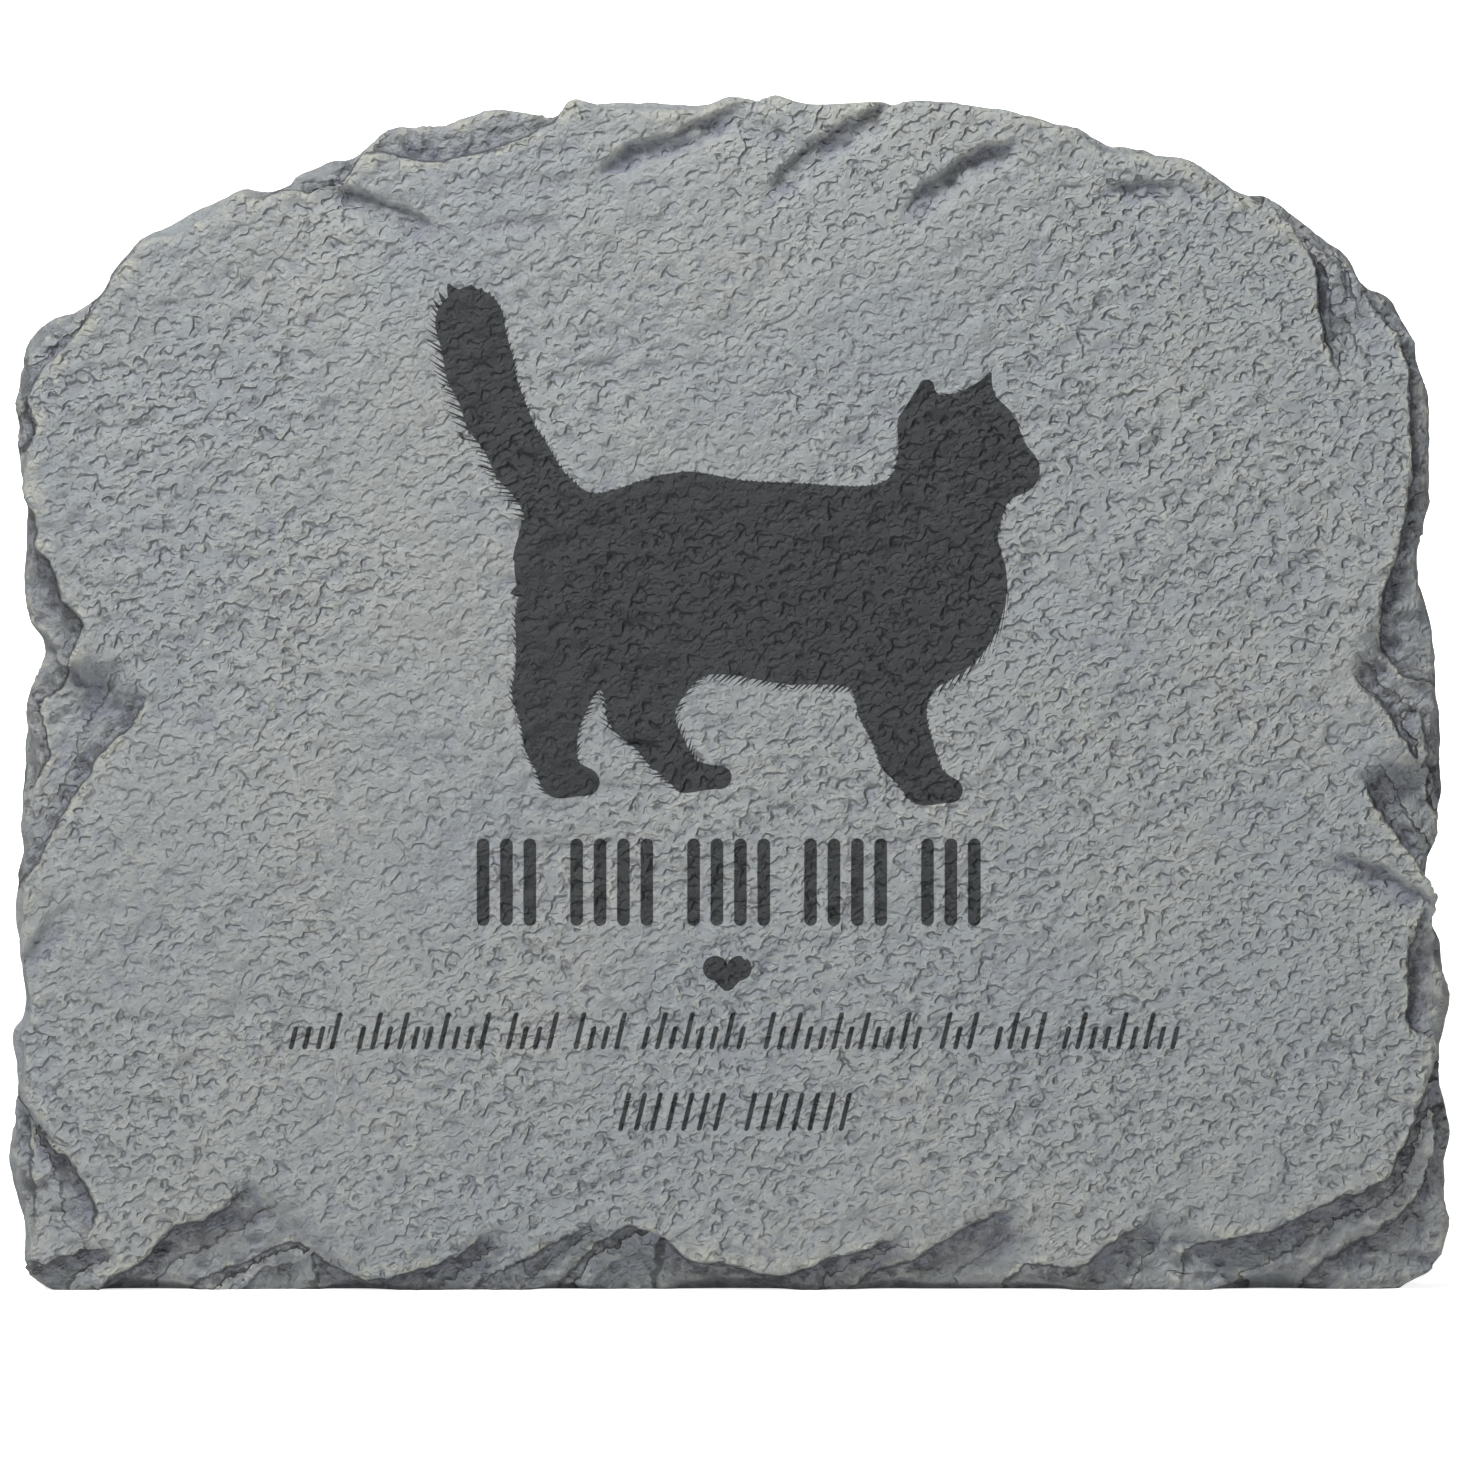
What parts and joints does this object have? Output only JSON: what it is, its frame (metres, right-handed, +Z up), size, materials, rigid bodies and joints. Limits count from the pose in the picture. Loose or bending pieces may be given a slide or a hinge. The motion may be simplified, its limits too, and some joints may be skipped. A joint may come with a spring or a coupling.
{
  "type": "pet memorial stone",
  "caption": "Upright cast memorial stone with a domed top, broken slate-like rim and pitted face, printed with a dark walking cat, a heart and rows of marks, standing on its flat underside.",
  "frame": {"origin": "middle of the stone's box on the plane that it stands on", "axes": "+Z up, the printed face looks towards -Y, +X to the right as seen from the front"},
  "size_m": [0.3042, 0.034, 0.251],
  "materials": {
    "cast_slate": "matt blue-grey cast stone, pitted, with paler worn ridges, lavender-grey hollows and charcoal print"
  },
  "bodies": {
    "root": {"memorial_stone": "cast_slate"}
  },
  "joints": []
}
